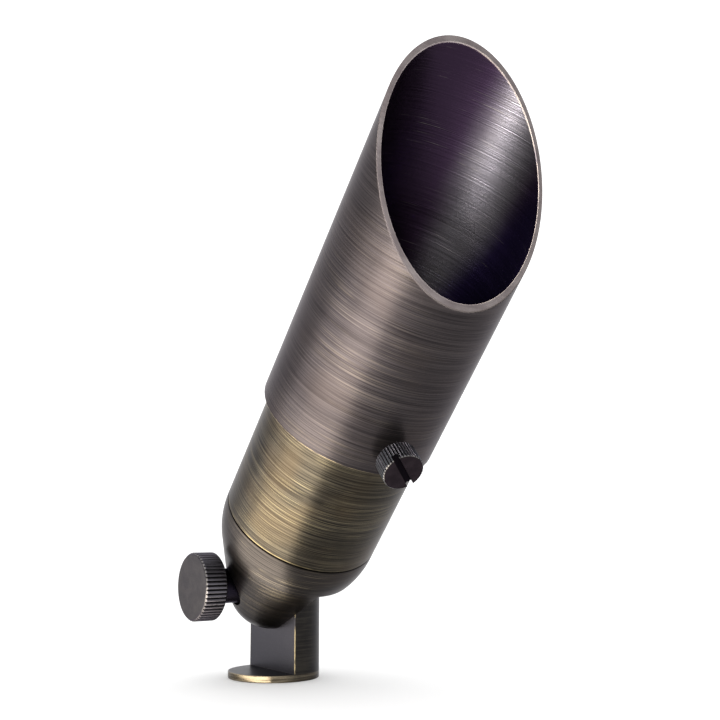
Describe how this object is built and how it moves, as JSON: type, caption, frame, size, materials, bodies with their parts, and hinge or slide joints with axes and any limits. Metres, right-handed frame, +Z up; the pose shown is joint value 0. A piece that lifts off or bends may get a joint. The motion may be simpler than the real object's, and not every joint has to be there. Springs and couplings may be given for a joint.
{
  "type": "garden spike spotlight",
  "caption": "Adjustable garden spotlight: slant-cut sliding glare shroud on a lamp tube, rear cap on a half-lapped knuckle, half-round stem on a disc foot, knurled clamp screws.",
  "frame": {"origin": "centre of the disc foot's underside", "axes": "+Z up along the stem, the lamp leans towards +X, the knuckle screw's head points to -Y"},
  "size_m": [0.1322, 0.0626, 0.2033],
  "materials": {
    "foot_brass": "satin aged brass, dark grey flat, golden worn rims",
    "cap_brass": "aged brass brushed round the axis, grey-brown",
    "tube_brass": "aged brass brushed round the axis, golden brown",
    "shroud_brass": "dark bronze patina brushed round the axis, with fine gold scratches",
    "screw_brass": "blackened satin",
    "black_rubber": "matt",
    "plain_steel": "bright zinc",
    "clear_glass": "polished",
    "frosted_glass": "frosted",
    "reflector_coat": "faceted mirror coat",
    "white_ceramic": "glazed ceramic",
    "white_nylon": "matt"
  },
  "bodies": {
    "base": {"knuckle_stem": "foot_brass", "foot_bushing": "black_rubber"},
    "lamp": {"rear_cap": "cap_brass", "cap_bushing": "black_rubber", "cap_seal": "black_rubber", "lamp_tube": "tube_brass", "lens_gasket": "black_rubber", "lens": "clear_glass", "lens_ring": "tube_brass", "reflector": "reflector_coat", "cover_glass": "clear_glass", "light_capsule": "frosted_glass", "lamp_base": "white_ceramic", "lamp_pins": "plain_steel", "socket": "white_ceramic", "socket_bridge": "plain_steel", "bridge_screw_left": "plain_steel", "bridge_screw_right": "plain_steel", "socket_screw": "plain_steel"},
    "knuckle_washer": {"knuckle_washer": "plain_steel"},
    "knuckle_screw": {"knuckle_screw": "screw_brass"},
    "glide_seals": {"glide_seal_rear": "black_rubber", "glide_seal_front": "black_rubber"},
    "shroud": {"shroud": "shroud_brass"},
    "clamp_pad": {"clamp_pad": "white_nylon"},
    "shroud_screw": {"shroud_screw": "screw_brass"}
  },
  "joints": [
    {"name": "knuckle_tilt", "type": "hinge", "parent": "base", "child": "lamp", "pos_m": [0, -0.0009, 0.0331], "axis": [0, 1, 0], "range_deg": [-131.65, 48.35]},
    {"name": "knuckle_screw_travel", "type": "slide", "parent": "base", "child": "knuckle_washer", "axis": [0, -1, 0], "range_m": [0, 0.0025]},
    {"name": "knuckle_screw_turn", "type": "hinge", "parent": "knuckle_washer", "child": "knuckle_screw", "pos_m": [0, -0.0009, 0.0331], "axis": [0, -1, 0], "range_deg": [0, 721]},
    {"name": "shroud_turn", "type": "hinge", "parent": "lamp", "child": "glide_seals", "pos_m": [0, -0.0009, 0.0331], "axis": [0.6646, 0, 0.7472], "continuous": true},
    {"name": "shroud_slide", "type": "slide", "parent": "glide_seals", "child": "shroud", "axis": [0.6646, 0, 0.7472], "range_m": [-0.035, 0.006]},
    {"name": "shroud_screw_travel", "type": "slide", "parent": "shroud", "child": "clamp_pad", "axis": [0.7438, -0.0958, -0.6615], "range_m": [0, 0.0007]},
    {"name": "shroud_screw_turn", "type": "hinge", "parent": "clamp_pad", "child": "shroud_screw", "pos_m": [0.05729, -0.0009, 0.09752], "axis": [0.7438, -0.0958, -0.6615], "range_deg": [0, 361]}
  ],
  "couplings": [
    {"joint": "knuckle_screw_turn", "follows": "knuckle_screw_travel", "rad_per_m": 5026.5},
    {"joint": "shroud_screw_turn", "follows": "shroud_screw_travel", "rad_per_m": 8976}
  ]
}
